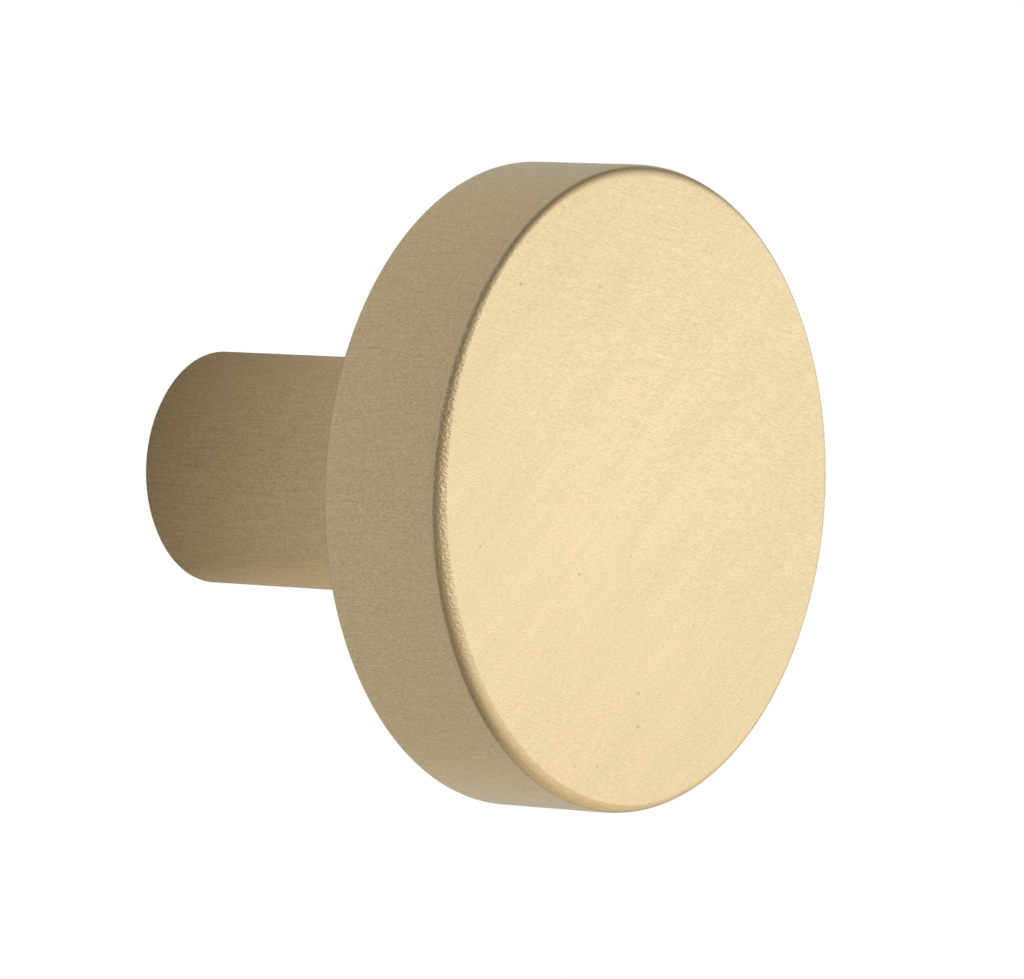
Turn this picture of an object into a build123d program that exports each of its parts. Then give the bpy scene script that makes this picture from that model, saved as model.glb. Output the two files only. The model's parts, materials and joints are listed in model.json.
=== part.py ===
from build123d import *
import os
from math import radians, tan

# A round cabinet knob, turned from one bar of brass: a flat disc head on a plain stem.
# It turns about Y. The stem's end sits on the cabinet front at Y = 0, and the face looks towards -Y.

# Driving dimensions, in millimetres and degrees
HEAD_DIAMETER = 32.0
HEAD_THICKNESS = 7.2
STEM_DIAMETER = 11.8
STEM_LENGTH = 19.8
FACE_EDGE_RADIUS = 0.6  # rounded edge between the face and the rim
BACK_EDGE_RADIUS = 0.2  # broken edge at the back of the head
ROOT_RADIUS = 0.3  # corner that the tool's nose leaves between the stem and the head
SEAT_CHAMFER = 0.2  # broken edge at the stem's end
TAP_DRILL_DIAMETER = 3.3  # hole before an M4 thread is tapped in it
DRILL_DEPTH = 14.0  # from the seat to the end of the hole's straight wall
DRILL_POINT_ANGLE = 118.0
MOUTH_WIDTH = 0.55  # how far the countersunk mouth is wider than the hole, on each side
MOUTH_ANGLE = 90.0

# Where the flat faces lie along the turning axis
SEAT_Y = 0.0
HEAD_BACK_Y = SEAT_Y - STEM_LENGTH
FACE_Y = HEAD_BACK_Y - HEAD_THICKNESS


def turned_body():
    """Head and stem: half of the section, from the axis out, turned once round."""
    head_radius = HEAD_DIAMETER / 2
    stem_radius = STEM_DIAMETER / 2
    corners = [
        (0, SEAT_Y),
        (stem_radius - SEAT_CHAMFER, SEAT_Y),
        (stem_radius, SEAT_Y - SEAT_CHAMFER),
        (stem_radius, HEAD_BACK_Y),
        (head_radius, HEAD_BACK_Y),
        (head_radius, FACE_Y),
        (0, FACE_Y),
    ]
    corner_radii = [0, 0, ROOT_RADIUS, BACK_EDGE_RADIUS, FACE_EDGE_RADIUS]
    with BuildPart() as body:
        with BuildSketch():
            with BuildLine():
                outline = FilletPolyline(*corners, radius=corner_radii)
                Line(outline @ 1, outline @ 0)
            make_face()
        revolve(axis=Axis.Y)
    return body.part


def screw_hole():
    """The space that is drilled for the fixing screw: countersunk mouth, straight wall, drill point."""
    hole_radius = TAP_DRILL_DIAMETER / 2
    mouth_depth = MOUTH_WIDTH / tan(radians(MOUTH_ANGLE / 2))
    point_depth = hole_radius / tan(radians(DRILL_POINT_ANGLE / 2))
    wall_end_y = SEAT_Y - DRILL_DEPTH
    with BuildPart() as hole:
        with BuildSketch():
            with BuildLine():
                Polyline(
                    (0, SEAT_Y),
                    (hole_radius + MOUTH_WIDTH, SEAT_Y),
                    (hole_radius, SEAT_Y - mouth_depth),
                    (hole_radius, wall_end_y),
                    (0, wall_end_y - point_depth),
                    close=True,
                )
            make_face()
        revolve(axis=Axis.Y)
    return hole.part


knob = turned_body() - screw_hole()

os.makedirs("parts", exist_ok=True)
export_step(knob, "parts/knob.step")
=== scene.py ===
import json
from math import cos, pi, radians, sin, tan

import bmesh
import bpy
from mathutils import Euler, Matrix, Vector


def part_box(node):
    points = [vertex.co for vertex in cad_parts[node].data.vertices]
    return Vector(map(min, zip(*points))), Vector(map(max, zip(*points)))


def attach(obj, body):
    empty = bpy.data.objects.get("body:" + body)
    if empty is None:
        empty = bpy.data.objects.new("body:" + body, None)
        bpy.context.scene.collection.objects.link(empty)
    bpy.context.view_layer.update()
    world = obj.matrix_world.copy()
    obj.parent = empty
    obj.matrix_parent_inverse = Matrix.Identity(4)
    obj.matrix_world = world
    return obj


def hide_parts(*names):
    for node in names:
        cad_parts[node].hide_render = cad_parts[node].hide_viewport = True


# A round cabinet knob in brushed brass: a flat disc head on a plain stem, tapped for a screw from behind.
# Lengths are in metres. The knob turns about Y, its face looks towards -Y and its stem ends at the seat.

MM = 0.001
MICRON = 0.000001

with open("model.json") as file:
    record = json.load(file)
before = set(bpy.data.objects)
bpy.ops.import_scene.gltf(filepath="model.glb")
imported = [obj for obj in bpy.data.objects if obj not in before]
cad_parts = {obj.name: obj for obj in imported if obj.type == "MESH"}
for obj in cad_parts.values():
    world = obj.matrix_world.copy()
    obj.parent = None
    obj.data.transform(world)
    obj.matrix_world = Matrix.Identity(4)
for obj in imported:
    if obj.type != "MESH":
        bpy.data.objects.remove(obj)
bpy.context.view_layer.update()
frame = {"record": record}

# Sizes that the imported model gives. Its facets stop a little short of the full radius on some sides.
lowest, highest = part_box("knob")
screw_hole = next(mount for mount in frame["record"]["mounts"] if mount["name"] == "screw_hole")
head_radius = min(highest.x, -lowest.x, highest.z, -lowest.z)
face_y = lowest.y
seat_y = highest.y
hole_radius = screw_hole["dims"]["r_mm"] * MM
hole_wall = screw_hole["dims"]["length_mm"] * MM

# Sizes of the turned shape
HEAD_THICKNESS = 7.2 * MM
STEM_RADIUS = 5.9 * MM
FACE_EDGE_RADIUS = 0.6 * MM
BACK_EDGE_RADIUS = 0.2 * MM
ROOT_RADIUS = 0.3 * MM
SEAT_CHAMFER = 0.2 * MM
MOUTH_WIDTH = 0.55 * MM  # the countersink is at 45 degrees, so this is its depth too
DRILL_POINT_ANGLE = radians(118)
head_back_y = face_y + HEAD_THICKNESS
mouth_radius = hole_radius + MOUTH_WIDTH

# Polishing of the front edge by hand, in shares of the edge's radius: how wide it is on the face, how deep on
# the rim, and how far it rolls over onto the rim beyond that
POLISH_WIDTH = 1.1
WIDER_LEFT = 0.55
WIDER_LOWER_LEFT = 1.2
NARROWER_UPPER_LEFT = 1.7
POLISH_DEPTH = 0.84
DEEPER_TOP = 0.36
SHALLOWER_UPPER_LEFT = 0.5
POLISH_ROLL = 0.5
ROLLED_UPPER_LEFT = 0.9
POLISH_ROLL_POWER = 5  # the higher, the later the roll sets in

# Sanding of the face after that, at a slight slant, which leaves a crisp line where it is deepest
SAND_SIDE = radians(240)  # the deepest side, round the face from +X towards +Z
SAND_DEPTH = 0.052 * MM
SAND_GRIT = 0.01 * MICRON  # how near the cut two points count as one

# The M4 thread in the hole
THREAD_RADIUS = 2.0 * MM
THREAD_PITCH = 0.7 * MM
THREAD_TURNS = 16
THREAD_FLANK = radians(30)
THREAD_TIP_WIDTH = THREAD_PITCH / 8
TOOTH_CORNERS = 4
TAP_SINK = 0.05 * MM  # how far the tap's tooth starts inside the drilled wall

# Fineness of the meshes
FACETS = 192
EDGE_STEPS = 30
THREAD_STEPS = 48
SMOOTH_ANGLE = radians(8)
NEAR = 0.01 * MM
SQUARE_ON = 0.9999  # a face looks along the axis where this much of its normal does

# The photograph's view, from the knob's front left and a little above
VIEW_AZIMUTH = radians(-52.31)
VIEW_ELEVATION = radians(4.025)
VIEW_DISTANCE = 464.164 * MM
AIM_RIGHT = 15.026 * MM  # the point in the frame's middle, from the seat's centre
AIM_UP = -1.155 * MM
SENSOR_WIDTH = 36.0  # in millimetres, as the lens is
LENS = 319.59

# Brass, as it looks in plain white light. The stem's is a shade darker and browner than the rim's, partly
# with painted shade.
FACE_BRASS = (0.9, 0.725, 0.43)
RIM_BRASS = (0.86, 0.68, 0.39)
# the stem's brass is darker and browner than the rim's, partly painted shade
STEM_BRASS_AND_SHADE = (0.85, 0.645, 0.358)
STEM_GLANCING = (1.0, 0.9, 0.78)
MARK_BROWN = (0.38, 0.29, 0.16)

# Which way the marks run, as turns of the pattern
FACE_GRAIN_TURN = radians(-12)
FACE_GRAIN = (0, FACE_GRAIN_TURN, 0)
FACE_SWEEPS = (0, radians(37), 0)
FACE_HAIRLINES = (0, radians(40), 0)
AXIAL_GRAIN = (0, 0, radians(-90))

# How the marks are spread and shaped
NOISE_REACH = (0.25, 0.75)  # nearly all of a noise lies between these
STROKE_DETAIL = 1.0
RING_DETAIL = 2.0
PIT_FLOOR = 0.4  # how much of a pit's size is its floor
PIT_DEPTH_POWER = 2.0  # the higher, the fewer pits are deep
HAIRLINE_LEAN = 0.4  # the most that a line leans, in spacings over its length
HAIRLINE_ENDS = (0.5, 0.2)  # from where a line stops to where it is full, in lengths from its middle
HAIRLINE_DEPTH_POWER = 4.0
NICK_DEPTH = 44 * MICRON
NICK_FULL = 0.2 * MM  # how far down the front edge the nicks stay full
NICK_POWER = 4.0  # the higher, the sooner the nicks fade where the edge turns along the grain


def direction(from_right, up):
    """A direction by its turn from the knob's right towards its front, and its height."""
    return (cos(up) * cos(from_right), -cos(up) * sin(from_right), sin(up))


# The studio: a round tent over the knob's front, closed by a flat card with a hole behind the seat
CARD_Y = 0.1 * MM
CARD_HOLE_RADIUS = 5.6 * MM
TENT_RADIUS = 200 * MM
TENT_SEGMENTS = 64
TENT_RINGS = 32
FLOOR_Z = -250 * MM
FLOOR_SIZE = 2.4
FLOOR_WHITE = (0.95, 0.95, 0.95)
WHITE = (1, 1, 1)

# Tones of the tent. Each reach is where a tone starts and where it is full, as a part of a direction.
LIGHT_SIDE = direction(radians(44.5), radians(16))
LIGHT_REACH = (0.28, 0.95)
LIGHT_FALL = 1.6  # the higher, the faster the light fades from its middle
LOW_SIDE = direction(0, radians(-38))
LOW_REACH = (0.36, 1.0)
BESIDE_HEAD_REACH = (0.9, 0.05)
NOT_LOW_REACH = (0.58, 0.49)
TENT_WHITE = (1.09, 1.09, 1.09)
TENT_SHADE = (0.35, 0.335, 0.31)
TENT_LOW = (0.69, 0.67, 0.63)
TENT_DARK = (0.183, 0.171, 0.155)
TENT_WARMTH = (1.0, 0.93, 0.84)
LOW_WARM_REACH = (-0.1, -0.55)
HIGH_WARM_REACH = (0.35, 0.7)

# Tones of the card. Its reaches are distances, or parts of a direction as the tent's are.
# the card's darkest tone, round the stem, is a painted shadow of the head
CARD_SHADOW_MIDDLE = (-3.1 * MM, 0, 1.5 * MM)
CARD_GREY_REACH = (1.9 * MM, 23 * MM)
CARD_LOW_SIDE = direction(0, radians(-52))
CARD_LOW_REACH = (0.8, 1.05)
CARD_LOW_SHARE = 0.34
CARD_FAR_MIDDLE = (0, 0, -14 * MM)
CARD_FAR_REACH = (60 * MM, 150 * MM)
CARD_LIGHT_SIDE = direction(0, radians(-14))
CARD_LIGHT_REACH = (0.4, 1.3)
CARD_HEAD_SHADOW = (0.178, 0.172, 0.165)
CARD_GREY = (0.478, 0.478, 0.478)
CARD_LOW = (0.8, 0.79, 0.77)
CARD_FAR = (0.1, 0.1, 0.1)
CARD_LIGHT = (0.52, 0.52, 0.52)


def deselect_all():
    bpy.ops.object.select_all(action="DESELECT")


def select_only(kind, passes):
    """Selects the open mesh's verts, edges or faces that pass, and nothing else."""
    bpy.ops.mesh.select_mode(type={"verts": "VERT", "edges": "EDGE", "faces": "FACE"}[kind])
    bpy.ops.mesh.select_all(action="DESELECT")
    mesh = bpy.context.edit_object.data
    shape = bmesh.from_edit_mesh(mesh)
    for element in getattr(shape, kind):
        if passes(element):
            element.select_set(True)
    bmesh.update_edit_mesh(mesh)


def push(distance):
    """Extrudes the selected face along the knob's axis."""
    bpy.ops.mesh.extrude_region_move(TRANSFORM_OT_translate={"value": (0, distance, 0)})


def round_edge(radius, y, size, steps=EDGE_STEPS):
    """Bevels the ring of edges at this radius and place on the axis."""
    def on_ring(edge):
        return all(abs(v.co.xz.length - radius) < NEAR and abs(v.co.y - y) < NEAR for v in edge.verts)

    select_only("edges", on_ring)
    bpy.ops.mesh.bevel(offset=size, segments=steps, affect="EDGES")


def polish_at(right, up):
    """The polish's width, depth and roll at one place round the front edge."""
    left = max(-right, 0)
    above = max(up, 0)
    upper_left = left * above
    lower_left = left * max(-up, 0)
    width = POLISH_WIDTH + WIDER_LEFT * left
    width += WIDER_LOWER_LEFT * lower_left - NARROWER_UPPER_LEFT * upper_left
    depth = POLISH_DEPTH + DEEPER_TOP * above - SHALLOWER_UPPER_LEFT * upper_left
    roll = POLISH_ROLL + ROLLED_UPPER_LEFT * upper_left
    return width, depth, roll


def polish_front_edge():
    """Widens the rounded front edge, most where it was polished most, and eases its end into the rim."""
    mesh = bpy.context.edit_object.data
    shape = bmesh.from_edit_mesh(mesh)
    for vert in shape.verts:
        radius = vert.co.xz.length
        inset = head_radius - radius
        sunk = vert.co.y - face_y
        if inset < FACE_EDGE_RADIUS + NEAR and sunk < FACE_EDGE_RADIUS + NEAR:
            width, depth, roll = polish_at(*(vert.co.xz / radius))
            share = sunk / FACE_EDGE_RADIUS
            vert.co.xz *= (head_radius - inset * width) / radius
            vert.co.y = face_y + (depth * share + roll * share ** POLISH_ROLL_POWER) * FACE_EDGE_RADIUS
    bmesh.update_edit_mesh(mesh)


def sand_face():
    """Cuts the face flat, deeper towards the sanded side."""
    side = Vector((cos(SAND_SIDE), 0, sin(SAND_SIDE)))
    slope = SAND_DEPTH / (2 * head_radius)
    bpy.ops.mesh.select_all(action="SELECT")
    bpy.ops.mesh.bisect(
        plane_co=Vector((0, face_y, 0)) - side * head_radius,
        plane_no=side * slope - Vector((0, 1, 0)),
        use_fill=True,
        clear_outer=True,
        threshold=SAND_GRIT,
    )


def turn_knob():
    """The head, with the stem pushed out of its back and the screw hole sunk into the stem's end."""
    deselect_all()
    bpy.ops.mesh.primitive_cylinder_add(
        vertices=FACETS,
        radius=head_radius,
        depth=HEAD_THICKNESS,
        location=(0, face_y + HEAD_THICKNESS / 2, 0),
        rotation=(pi / 2, 0, 0),
    )
    bpy.ops.object.transform_apply(location=True, rotation=True, scale=True)
    knob = bpy.context.object
    knob.name = "brass_knob"

    bpy.ops.object.mode_set(mode="EDIT")
    select_only("faces", lambda face: face.normal.y > SQUARE_ON)
    bpy.ops.mesh.inset(thickness=head_radius - STEM_RADIUS)
    push(seat_y - head_back_y)
    bpy.ops.mesh.inset(thickness=STEM_RADIUS - mouth_radius)
    push(-MOUTH_WIDTH)
    narrowing = hole_radius / mouth_radius
    bpy.ops.transform.resize(value=(narrowing, 1, narrowing), center_override=(0, seat_y - MOUTH_WIDTH, 0))
    push(-hole_wall)
    push(-hole_radius / tan(DRILL_POINT_ANGLE / 2))
    bpy.ops.mesh.merge(type="CENTER")

    round_edge(head_radius, head_back_y, BACK_EDGE_RADIUS)
    round_edge(STEM_RADIUS, head_back_y, ROOT_RADIUS)
    round_edge(STEM_RADIUS, seat_y, SEAT_CHAMFER, steps=1)
    round_edge(head_radius, face_y, FACE_EDGE_RADIUS)
    polish_front_edge()
    sand_face()
    bpy.ops.object.mode_set(mode="OBJECT")
    return knob


def make_tap():
    """One tooth of the thread, swept up the hole as a right-hand helix and closed at both ends."""
    start_radius = hole_radius - TAP_SINK
    tooth_height = THREAD_RADIUS - start_radius
    root_width = THREAD_TIP_WIDTH + 2 * tooth_height * tan(THREAD_FLANK)
    start_y = seat_y - (THREAD_TURNS - 1) * THREAD_PITCH
    deselect_all()
    bpy.ops.mesh.primitive_plane_add(size=1, location=(start_radius + tooth_height / 2, start_y, 0))
    bpy.ops.transform.resize(value=(tooth_height, root_width, 1))
    bpy.ops.object.transform_apply(location=True, rotation=True, scale=True)
    tap = bpy.context.object

    bpy.ops.object.mode_set(mode="EDIT")
    select_only("verts", lambda vert: vert.co.x > THREAD_RADIUS - NEAR)
    tip = THREAD_TIP_WIDTH / root_width
    bpy.ops.transform.resize(value=(1, tip, 1), center_override=(THREAD_RADIUS, start_y, 0))
    bpy.ops.mesh.select_all(action="SELECT")
    bpy.ops.mesh.delete(type="ONLY_FACE")
    bpy.ops.object.mode_set(mode="OBJECT")

    helix = tap.modifiers.new("helix", "SCREW")
    helix.axis = "Y"
    helix.screw_offset = THREAD_PITCH
    helix.iterations = THREAD_TURNS
    helix.steps = THREAD_STEPS
    helix.render_steps = THREAD_STEPS
    bpy.ops.object.modifier_apply(modifier=helix.name)

    bpy.ops.object.mode_set(mode="EDIT")
    bpy.ops.mesh.select_all(action="SELECT")
    bpy.ops.mesh.fill_holes(sides=TOOTH_CORNERS)
    bpy.ops.mesh.select_all(action="SELECT")
    bpy.ops.mesh.normals_make_consistent(inside=False)
    bpy.ops.object.mode_set(mode="OBJECT")
    return tap


def tap_hole(knob):
    """Cuts the thread into the drilled wall."""
    tap = make_tap()
    deselect_all()
    bpy.context.view_layer.objects.active = knob
    knob.select_set(True)
    cut = knob.modifiers.new("thread", "BOOLEAN")
    cut.operation = "DIFFERENCE"
    cut.solver = "EXACT"
    cut.object = tap
    bpy.ops.object.modifier_apply(modifier=cut.name)
    bpy.data.objects.remove(tap)


def smooth(knob):
    """Rounded edges shade smoothly into flats that stay flat."""
    bpy.ops.object.shade_smooth_by_angle(angle=SMOOTH_ANGLE)
    flats = knob.modifiers.new("flats", "WEIGHTED_NORMAL")
    flats.keep_sharp = True
    bpy.ops.object.modifier_apply(modifier=flats.name)


def add_node(tree, kind, **settings):
    node = tree.nodes.new(kind)
    for name, value in settings.items():
        setattr(node, name, value)
    return node


def feed(tree, socket, value):
    """Links a socket to another, or sets it to a plain value."""
    if isinstance(value, bpy.types.NodeSocket):
        tree.links.new(value, socket)
    else:
        socket.default_value = value


def ramp(tree, value, low, high, start=0.0, end=1.0):
    """The start where the value is low and the end where it is high."""
    node = add_node(tree, "ShaderNodeMapRange")
    settings = {"Value": value, "From Min": low, "From Max": high, "To Min": start, "To Max": end}
    for name, setting in settings.items():
        feed(tree, node.inputs[name], setting)
    return node.outputs["Result"]


def calculate(tree, operation, first, second=0.0):
    node = add_node(tree, "ShaderNodeMath", operation=operation)
    feed(tree, node.inputs[0], first)
    feed(tree, node.inputs[1], second)
    return node.outputs["Value"]


def vector_math(tree, operation, first, second=(0, 0, 0)):
    node = add_node(tree, "ShaderNodeVectorMath", operation=operation)
    feed(tree, node.inputs[0], first)
    feed(tree, node.inputs[1], second)
    return node.outputs["Value" if operation in ("LENGTH", "DOT_PRODUCT") else "Vector"]


def vector(tree, x, y, z):
    node = add_node(tree, "ShaderNodeCombineXYZ")
    for socket, value in zip(node.inputs, (x, y, z)):
        feed(tree, socket, value)
    return node.outputs["Vector"]


def parts_of(tree, value):
    node = add_node(tree, "ShaderNodeSeparateXYZ")
    feed(tree, node.inputs["Vector"], value)
    return node.outputs


def off_axis(tree, place):
    """The way to a place from the knob's axis, square to it."""
    return vector_math(tree, "MULTIPLY", place, (1, 0, 1))


def blend(tree, share, first, second):
    """A colour between two others."""
    node = add_node(tree, "ShaderNodeMix", data_type="RGBA")
    colours = [socket for socket in node.inputs if socket.type == "RGBA"]
    feed(tree, node.inputs["Factor"], share)
    for socket, colour in zip(colours, (first, second)):
        feed(tree, socket, colour if isinstance(colour, bpy.types.NodeSocket) else (*colour, 1))
    return next(socket for socket in node.outputs if socket.type == "RGBA")


def noise(tree, place, detail):
    node = add_node(tree, "ShaderNodeTexNoise")
    feed(tree, node.inputs["Vector"], place)
    feed(tree, node.inputs["Scale"], 1.0)
    feed(tree, node.inputs["Detail"], detail)
    return node.outputs["Fac"]


def new_group(name, sizes, result):
    """A node group that turns a place on the knob, and some sizes, into one value."""
    group = bpy.data.node_groups.new(name, "ShaderNodeTree")
    group.interface.new_socket("Place", in_out="INPUT", socket_type="NodeSocketVector")
    for size in sizes:
        group.interface.new_socket(size, in_out="INPUT", socket_type="NodeSocketFloat")
    group.interface.new_socket(result, in_out="OUTPUT", socket_type="NodeSocketFloat")
    given = add_node(group, "NodeGroupInput").outputs
    return group, given, add_node(group, "NodeGroupOutput").inputs[result]


def brush_strokes_group():
    """Short strokes with longer streaks among them, along X: 0 in the dark ones, 1 in the bright ones."""
    sizes = ("Length", "Width", "Streak Length", "Streaks")
    group, given, result = new_group("brush_strokes", sizes, "Strokes")

    def lines(length):
        size = vector(group, length, given["Width"], given["Width"])
        return noise(group, vector_math(group, "DIVIDE", given["Place"], size), STROKE_DETAIL)

    both = ramp(group, given["Streaks"], 0.0, 1.0, lines(given["Length"]), lines(given["Streak Length"]))
    group.links.new(ramp(group, both, *NOISE_REACH), result)
    return group


def painted_highlight_group():
    """A broad painted highlight on a surface that lies in X and Z: 1 in its middle, 0 beyond its length and
    width.
    """
    group, given, result = new_group("pale_patch", ("Length", "Width"), "Patch")
    size = vector(group, given["Length"], 1.0, given["Width"])
    away = vector_math(group, "DIVIDE", off_axis(group, given["Place"]), size)
    group.links.new(ramp(group, vector_math(group, "LENGTH", away), 1.0, 0.0), result)
    return group


def turning_marks_group():
    """Fine rings about the knob's axis, as a lathe tool leaves them."""
    group, given, result = new_group("turning_marks", ("Pitch",), "Rings")
    radius = vector_math(group, "LENGTH", off_axis(group, given["Place"]))
    rings = add_node(group, "ShaderNodeTexNoise", noise_dimensions="1D")
    feed(group, rings.inputs["W"], calculate(group, "DIVIDE", radius, given["Pitch"]))
    feed(group, rings.inputs["Scale"], 1.0)
    feed(group, rings.inputs["Detail"], RING_DETAIL)
    group.links.new(ramp(group, rings.outputs["Fac"], *NOISE_REACH), result)
    return group


def pits_group():
    """A few small pits: up to 1 in the deepest, 0 elsewhere."""
    group, given, result = new_group("pits", ("Spacing", "Size"), "Pits")
    cells = add_node(group, "ShaderNodeTexVoronoi")
    spacing = vector(group, given["Spacing"], given["Spacing"], given["Spacing"])
    feed(group, cells.inputs["Vector"], vector_math(group, "DIVIDE", given["Place"], spacing))
    feed(group, cells.inputs["Scale"], 1.0)
    away = calculate(group, "MULTIPLY", cells.outputs["Distance"], given["Spacing"])
    pit_floor = calculate(group, "MULTIPLY", given["Size"], PIT_FLOOR)
    pit = ramp(group, away, given["Size"], pit_floor)
    depth = calculate(group, "POWER", parts_of(group, cells.outputs["Color"])["X"], PIT_DEPTH_POWER)
    group.links.new(calculate(group, "MULTIPLY", pit, depth), result)
    return group


def hairlines_group():
    """Stray scratches, mostly along X on a surface that lies in X and Z: 1 in the deepest, 0 elsewhere."""
    group, given, result = new_group("hairlines", ("Length", "Spacing", "Width"), "Hairlines")
    place = parts_of(group, given["Place"])
    along = calculate(group, "DIVIDE", place["X"], given["Length"])
    across = calculate(group, "DIVIDE", place["Z"], given["Spacing"])
    cells = add_node(group, "ShaderNodeTexVoronoi", voronoi_dimensions="2D")
    scaled = vector(group, along, across, 0.0)
    feed(group, cells.inputs["Vector"], scaled)
    feed(group, cells.inputs["Scale"], 1.0)
    offset = parts_of(group, vector_math(group, "SUBTRACT", scaled, cells.outputs["Position"]))
    chance = parts_of(group, cells.outputs["Color"])
    lean = ramp(group, chance["Y"], 0.0, 1.0, -HAIRLINE_LEAN, HAIRLINE_LEAN)
    leaning = calculate(group, "MULTIPLY", offset["X"], lean)
    beside = calculate(group, "ABSOLUTE", calculate(group, "ADD", offset["Y"], leaning))
    beside = calculate(group, "MULTIPLY", beside, given["Spacing"])
    line = ramp(group, beside, given["Width"], 0.0)
    ends = ramp(group, calculate(group, "ABSOLUTE", offset["X"]), *HAIRLINE_ENDS)
    depth = calculate(group, "POWER", chance["X"], HAIRLINE_DEPTH_POWER)
    marked = calculate(group, "MULTIPLY", calculate(group, "MULTIPLY", line, ends), depth)
    group.links.new(marked, result)
    return group


BRUSH_STROKES = brush_strokes_group()
# the pale patch is a painted highlight
PAINTED_HIGHLIGHT = painted_highlight_group()
TURNING_MARKS = turning_marks_group()
PITS = pits_group()
HAIRLINES = hairlines_group()


class BrassFinish:
    """A brass material for one of the knob's surfaces, built up from the marks that work left on it. The
    face's pale patch is not such a mark but a painted highlight.
    """

    def __init__(self, name, brass):
        self.material = bpy.data.materials.new(name)
        self.material.use_nodes = True
        self.tree = self.material.node_tree
        self.shader = self.tree.nodes["Principled BSDF"]
        self.shader.inputs["Metallic"].default_value = 1
        self.place = add_node(self.tree, "ShaderNodeTexCoord").outputs["Object"]
        self.tone = brass

    def marks(self, group, sizes, turn=(0, 0, 0), middle=(0, 0, 0), stretch=1.0):
        """One kind of mark, its pattern drawn out along X, turned on the knob and moved to its middle."""
        turned = add_node(self.tree, "ShaderNodeMapping")
        turned.inputs["Location"].default_value = [-distance for distance in middle]
        turned.inputs["Rotation"].default_value = turn
        turned.inputs["Scale"].default_value = (1 / stretch, 1, 1)
        self.tree.links.new(self.place, turned.inputs["Vector"])
        node = add_node(self.tree, "ShaderNodeGroup", node_tree=group)
        self.tree.links.new(turned.outputs["Vector"], node.inputs["Place"])
        for name, size in sizes.items():
            node.inputs[name].default_value = size
        return node.outputs[0]

    def shade(self, marks, contrast):
        """Makes the brass darker where the marks are low and paler where they are high."""
        share = ramp(self.tree, marks, 0.0, 1.0, 1 - contrast, 1 + contrast)
        self.tone = vector_math(self.tree, "MULTIPLY", self.tone, vector(self.tree, share, share, share))

    def stain(self, marks, strength):
        """Turns the brass brown in the marks."""
        self.tone = blend(self.tree, calculate(self.tree, "MULTIPLY", marks, strength), self.tone, MARK_BROWN)

    def roughen(self, marks, smoothest, roughest):
        """Makes the brass roughest where the marks are low."""
        roughness = ramp(self.tree, marks, 0.0, 1.0, roughest, smoothest)
        self.tree.links.new(roughness, self.shader.inputs["Roughness"])

    def sink(self, relief, marks, strength):
        """A relief with marks sunk into it."""
        return calculate(self.tree, "SUBTRACT", relief, calculate(self.tree, "MULTIPLY", marks, strength))

    def engrave(self, relief, depth):
        """Cuts a relief into the surface."""
        bump = add_node(self.tree, "ShaderNodeBump")
        bump.inputs["Distance"].default_value = depth
        self.tree.links.new(relief, bump.inputs["Height"])
        self.tree.links.new(bump.outputs["Normal"], self.shader.inputs["Normal"])

    def finished(self):
        """The material, with its tone in place."""
        self.tree.links.new(self.tone, self.shader.inputs["Base Color"])
        return self.material


def brushed_face():
    """Fine strokes across, broad sweeps on a slant, a painted highlight as a pale patch, stray hairlines and
    a few pits.
    """
    finish = BrassFinish("brushed_face", FACE_BRASS)
    strokes = finish.marks(
        BRUSH_STROKES,
        {"Length": 0.26 * MM, "Width": 0.057 * MM, "Streak Length": 1 * MM, "Streaks": 0.3},
        turn=FACE_GRAIN,
    )
    sweeps = finish.marks(
        BRUSH_STROKES,
        {"Length": 1.6 * MM, "Width": 0.26 * MM, "Streak Length": 14 * MM, "Streaks": 0.55},
        turn=FACE_SWEEPS,
    )
    broad_sweeps = finish.marks(
        BRUSH_STROKES,
        {"Length": 6 * MM, "Width": 1.7 * MM, "Streak Length": 40 * MM, "Streaks": 0.45},
        turn=FACE_SWEEPS,
    )
    # a painted highlight: a broad pale patch on a slant across the face
    painted_highlight_patch = finish.marks(
        PAINTED_HIGHLIGHT,
        {"Length": 24 * MM, "Width": 14 * MM},
        turn=FACE_SWEEPS,
        middle=(-6 * MM, 0, 1 * MM),
    )
    hairlines = finish.marks(
        HAIRLINES,
        {"Length": 8 * MM, "Spacing": 0.9 * MM, "Width": 0.05 * MM},
        turn=FACE_HAIRLINES,
    )
    pits = finish.marks(PITS, {"Spacing": 1 * MM, "Size": 0.1 * MM}, stretch=1.6)
    finish.shade(strokes, contrast=0.125)
    finish.shade(sweeps, contrast=0.025)
    finish.shade(broad_sweeps, contrast=0.026)
    # painted highlight, palest in the patch's middle
    finish.shade(painted_highlight_patch, contrast=0.03)
    finish.stain(hairlines, strength=0.11)
    finish.stain(pits, strength=0.6)
    finish.roughen(strokes, smoothest=0.3, roughest=0.36)
    relief = finish.sink(strokes, hairlines, strength=0.5)
    relief = finish.sink(relief, pits, strength=8.0)
    finish.engrave(relief, depth=1.2 * MICRON)
    return finish.finished()


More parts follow.
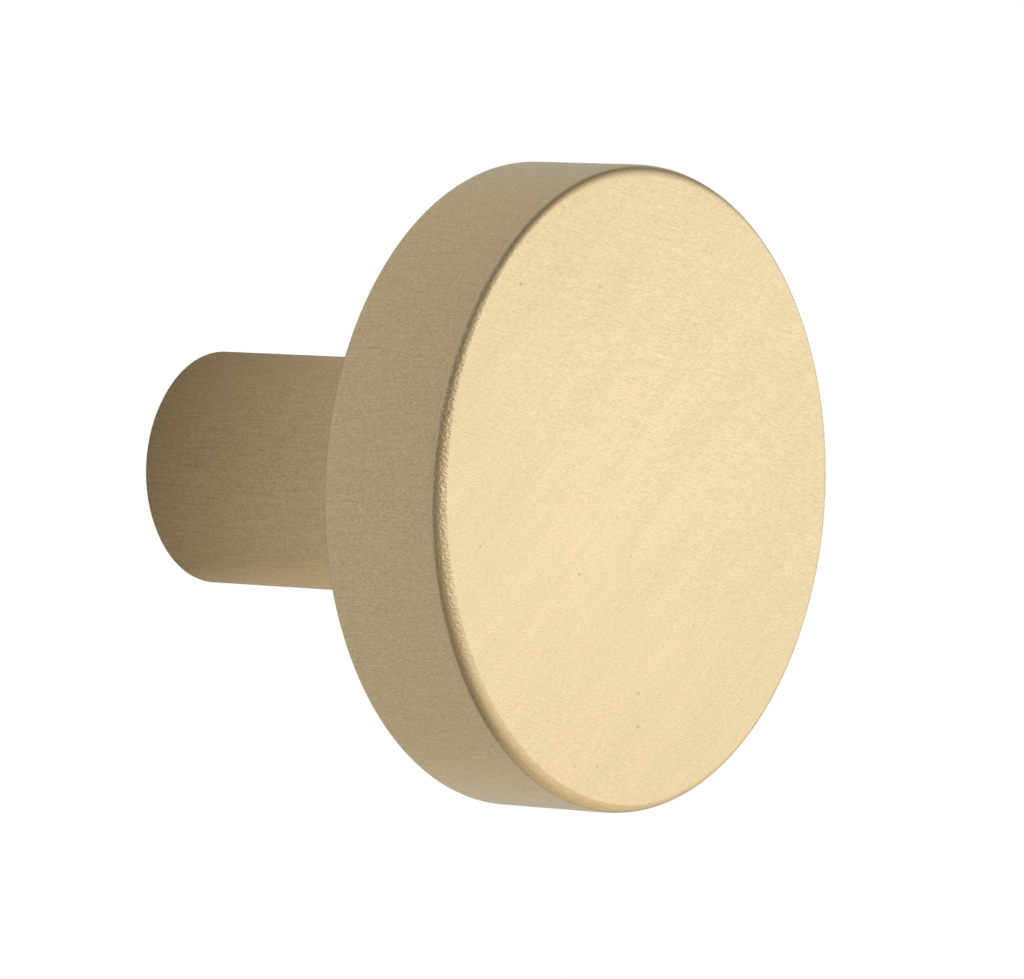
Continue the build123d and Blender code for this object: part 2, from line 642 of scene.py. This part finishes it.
def brushed_face_edge():
    """Where the face's grain runs out over the rounded edge, it leaves the edge ragged next to the face."""
    finish = BrassFinish("brushed_face_edge", FACE_BRASS)
    tree = finish.tree
    strokes = finish.marks(
        BRUSH_STROKES,
        {"Length": 0.32 * MM, "Width": 0.067 * MM, "Streak Length": 3.2 * MM, "Streaks": 0.3},
        turn=FACE_GRAIN,
    )
    nicks = finish.marks(
        BRUSH_STROKES,
        {"Length": 0.22 * MM, "Width": 0.125 * MM, "Streak Length": 0.8 * MM, "Streaks": 0.2},
        turn=FACE_GRAIN,
    )
    along_axis = parts_of(tree, finish.place)["Y"]
    near_face = ramp(tree, along_axis, face_y + NICK_FULL, face_y + FACE_EDGE_RADIUS, 1.0, 0.0)
    outwards = vector_math(tree, "NORMALIZE", off_axis(tree, finish.place))
    grain_way = (cos(FACE_GRAIN_TURN), 0, sin(FACE_GRAIN_TURN))
    crossing = calculate(tree, "ABSOLUTE", vector_math(tree, "DOT_PRODUCT", outwards, grain_way))
    crossing = calculate(tree, "POWER", crossing, NICK_POWER)
    nicked = calculate(tree, "MULTIPLY", near_face, crossing)
    finish.shade(strokes, contrast=0.11)
    finish.roughen(strokes, smoothest=0.28, roughest=0.34)
    finish.engrave(calculate(tree, "MULTIPLY", nicks, nicked), depth=NICK_DEPTH)
    return finish.finished()


def brushed_rim():
    """Short strokes along the axis, and a few pits."""
    finish = BrassFinish("brushed_rim", RIM_BRASS)
    strokes = finish.marks(
        BRUSH_STROKES,
        {"Length": 0.16 * MM, "Width": 0.07 * MM, "Streak Length": 1.6 * MM, "Streaks": 0.25},
        turn=AXIAL_GRAIN,
    )
    pits = finish.marks(PITS, {"Spacing": 1.6 * MM, "Size": 0.1 * MM})
    finish.shade(strokes, contrast=0.21)
    finish.stain(pits, strength=0.7)
    finish.roughen(strokes, smoothest=0.29, roughest=0.34)
    finish.engrave(finish.sink(strokes, pits, strength=5.0), depth=2 * MICRON)
    return finish.finished()


def brushed_stem():
    """Strokes along the axis, paler where they are seen at a glancing angle."""
    # the stem's brass carries painted shade: darker and browner than the rim's
    finish = BrassFinish("brushed_stem", STEM_BRASS_AND_SHADE)
    strokes = finish.marks(
        BRUSH_STROKES,
        {"Length": 0.16 * MM, "Width": 0.08 * MM, "Streak Length": 1.8 * MM, "Streaks": 0.33},
        turn=AXIAL_GRAIN,
    )
    finish.shade(strokes, contrast=0.24)
    finish.roughen(strokes, smoothest=0.29, roughest=0.35)
    finish.engrave(strokes, depth=2 * MICRON)
    finish.shader.inputs["Specular Tint"].default_value = (*STEM_GLANCING, 1)
    return finish.finished()


def turned_brass(name, pitch, depth):
    """Plain lathe work that was never brushed."""
    finish = BrassFinish(name, RIM_BRASS)
    rings = finish.marks(TURNING_MARKS, {"Pitch": pitch})
    finish.shade(rings, contrast=0.08)
    finish.roughen(rings, smoothest=0.29, roughest=0.35)
    finish.engrave(rings, depth)
    return finish.finished()


def zone_of(polygon):
    """Which of the knob's surfaces a face of the mesh lies on."""
    y = polygon.center.y
    radius = polygon.center.xz.length
    if polygon.normal.y < -SQUARE_ON:
        return "face"
    if y < face_y + FACE_EDGE_RADIUS:
        return "face_edge"
    if radius < mouth_radius:
        return "hole"
    if y > seat_y - NEAR:
        return "seat"
    if y > head_back_y + NEAR:
        return "stem"
    if y > head_back_y - BACK_EDGE_RADIUS:
        return "head_back"
    return "rim"


def finish_surfaces(knob):
    """Gives each of the knob's surfaces its own finish."""
    finishes = {
        "face": brushed_face(),
        "face_edge": brushed_face_edge(),
        "rim": brushed_rim(),
        "head_back": turned_brass("turned_head_back", pitch=0.1 * MM, depth=2 * MICRON),
        "stem": brushed_stem(),
        "seat": turned_brass("turned_seat", pitch=0.08 * MM, depth=3 * MICRON),
        "hole": turned_brass("cut_hole", pitch=0.05 * MM, depth=1 * MICRON),
    }
    knob.data.materials.clear()
    for material in finishes.values():
        knob.data.materials.append(material)
    zones = list(finishes)
    for polygon in knob.data.polygons:
        polygon.material_index = zones.index(zone_of(polygon))


def new_card(name):
    """A card that shows its own tone, and the place on it."""
    material = bpy.data.materials.new(name)
    material.use_nodes = True
    material.cycles.emission_sampling = "NONE"
    tree = material.node_tree
    tree.nodes.clear()
    glow = add_node(tree, "ShaderNodeEmission")
    output = add_node(tree, "ShaderNodeOutputMaterial")
    tree.links.new(glow.outputs["Emission"], output.inputs["Surface"])
    place = add_node(tree, "ShaderNodeTexCoord").outputs["Object"]
    return material, glow, place


def back_card():
    """Darkest beside the stem, where it is a painted shadow of the head, paler outwards and low down, then
    dark far left and light far right.
    """
    material, glow, place = new_card("graded_back_card")
    tree = material.node_tree
    flat = off_axis(tree, place)
    from_shadow = vector_math(tree, "SUBTRACT", flat, CARD_SHADOW_MIDDLE)
    outwards = vector_math(tree, "NORMALIZE", from_shadow)
    low = vector_math(tree, "DOT_PRODUCT", outwards, CARD_LOW_SIDE)
    right = vector_math(tree, "DOT_PRODUCT", outwards, CARD_LIGHT_SIDE)
    beyond_shadow = vector_math(tree, "LENGTH", from_shadow)
    # painted shadow of the head beside the stem, grey further out
    near = blend(tree, ramp(tree, beyond_shadow, *CARD_GREY_REACH), CARD_HEAD_SHADOW, CARD_GREY)
    near = blend(tree, ramp(tree, low, *CARD_LOW_REACH, 0.0, CARD_LOW_SHARE), near, CARD_LOW)
    far = blend(tree, ramp(tree, right, *CARD_LIGHT_REACH), CARD_FAR, CARD_LIGHT)
    reach = vector_math(tree, "LENGTH", vector_math(tree, "SUBTRACT", flat, CARD_FAR_MIDDLE))
    tone = blend(tree, ramp(tree, reach, *CARD_FAR_REACH), near, far)
    tree.links.new(tone, glow.inputs["Color"])
    return material


def tent_cloth():
    """White where the light comes through, grey elsewhere, warmer low and high, darkest beside the head."""
    material, glow, place = new_card("graded_tent")
    tree = material.node_tree
    outwards = vector_math(tree, "NORMALIZE", place)
    low = vector_math(tree, "DOT_PRODUCT", outwards, LOW_SIDE)
    lit = ramp(tree, vector_math(tree, "DOT_PRODUCT", outwards, LIGHT_SIDE), *LIGHT_REACH)
    heading = parts_of(tree, outwards)
    beside_head = ramp(tree, calculate(tree, "ABSOLUTE", heading["Y"]), *BESIDE_HEAD_REACH)
    high_warm = calculate(tree, "MULTIPLY", ramp(tree, heading["Z"], *HIGH_WARM_REACH), lit)
    warm = calculate(tree, "MAXIMUM", ramp(tree, heading["Z"], *LOW_WARM_REACH), high_warm)
    warmth = blend(tree, warm, WHITE, TENT_WARMTH)
    tone = blend(tree, ramp(tree, low, *LOW_REACH), TENT_SHADE, TENT_LOW)
    tone = blend(tree, calculate(tree, "POWER", lit, LIGHT_FALL), tone, TENT_WHITE)
    dark = calculate(tree, "MULTIPLY", beside_head, ramp(tree, low, *NOT_LOW_REACH))
    tone = vector_math(tree, "MULTIPLY", blend(tree, dark, tone, TENT_DARK), warmth)
    tree.links.new(tone, glow.inputs["Color"])
    return material


def on_card(centre):
    """Whether a face of the tent with this centre lies on its flat card."""
    return centre.y > CARD_Y - NEAR


def add_tent():
    """What the metal reflects. Only the metal sees it, so the floor and the background stay white."""
    deselect_all()
    bpy.ops.mesh.primitive_uv_sphere_add(
        segments=TENT_SEGMENTS,
        ring_count=TENT_RINGS,
        radius=TENT_RADIUS,
        location=(0, CARD_Y, 0),
    )
    bpy.ops.object.transform_apply(location=True, rotation=True, scale=True)
    tent = bpy.context.object
    tent.name = "tent"

    bpy.ops.object.mode_set(mode="EDIT")
    bpy.ops.mesh.select_all(action="SELECT")
    bpy.ops.mesh.bisect(plane_co=(0, CARD_Y, 0), plane_no=(0, 1, 0), use_fill=True, clear_outer=True)
    select_only("faces", lambda face: on_card(face.calc_center_median()))
    bpy.ops.mesh.inset(thickness=TENT_RADIUS - CARD_HOLE_RADIUS)
    bpy.ops.mesh.delete(type="FACE")
    bpy.ops.object.mode_set(mode="OBJECT")

    tent.data.materials.append(tent_cloth())
    tent.data.materials.append(back_card())
    for polygon in tent.data.polygons:
        polygon.material_index = 1 if on_card(polygon.center) else 0
    tent.visible_camera = False
    tent.visible_diffuse = False
    tent.visible_shadow = False


def pale_floor():
    material = bpy.data.materials.new("pale_floor")
    material.use_nodes = True
    shader = material.node_tree.nodes["Principled BSDF"]
    shader.inputs["Base Color"].default_value = (*FLOOR_WHITE, 1)
    shader.inputs["Roughness"].default_value = 1
    shader.inputs["Specular IOR Level"].default_value = 0
    return material


def add_floor():
    """A plain floor, well below the knob."""
    deselect_all()
    bpy.ops.mesh.primitive_plane_add(size=FLOOR_SIZE, location=(0, 0, FLOOR_Z))
    floor = bpy.context.object
    floor.name = "floor"
    floor.data.materials.append(pale_floor())


def add_light():
    """Even white light from all round, which is the background too."""
    world = bpy.data.worlds.new("white_studio")
    world.use_nodes = True
    background = world.node_tree.nodes["Background"]
    background.inputs["Color"].default_value = (*WHITE, 1)
    background.inputs["Strength"].default_value = 1
    world.cycles.sampling_method = "NONE"
    bpy.context.scene.world = world
    bpy.context.scene.view_settings.view_transform = "Standard"


def add_camera():
    """The photograph's own view."""
    turn = Euler((pi / 2 - VIEW_ELEVATION, 0, VIEW_AZIMUTH)).to_matrix()
    data = bpy.data.cameras.new("photo_view")
    data.sensor_width = SENSOR_WIDTH
    data.lens = LENS
    camera = bpy.data.objects.new("photo_view", data)
    camera.rotation_euler = turn.to_euler()
    camera.location = turn @ Vector((AIM_RIGHT, AIM_UP, VIEW_DISTANCE))
    bpy.context.scene.collection.objects.link(camera)
    bpy.context.scene.camera = camera


knob = turn_knob()
tap_hole(knob)
smooth(knob)
finish_surfaces(knob)
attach(knob, "root")
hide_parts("knob")

add_floor()
add_light()
add_camera()
add_tent()
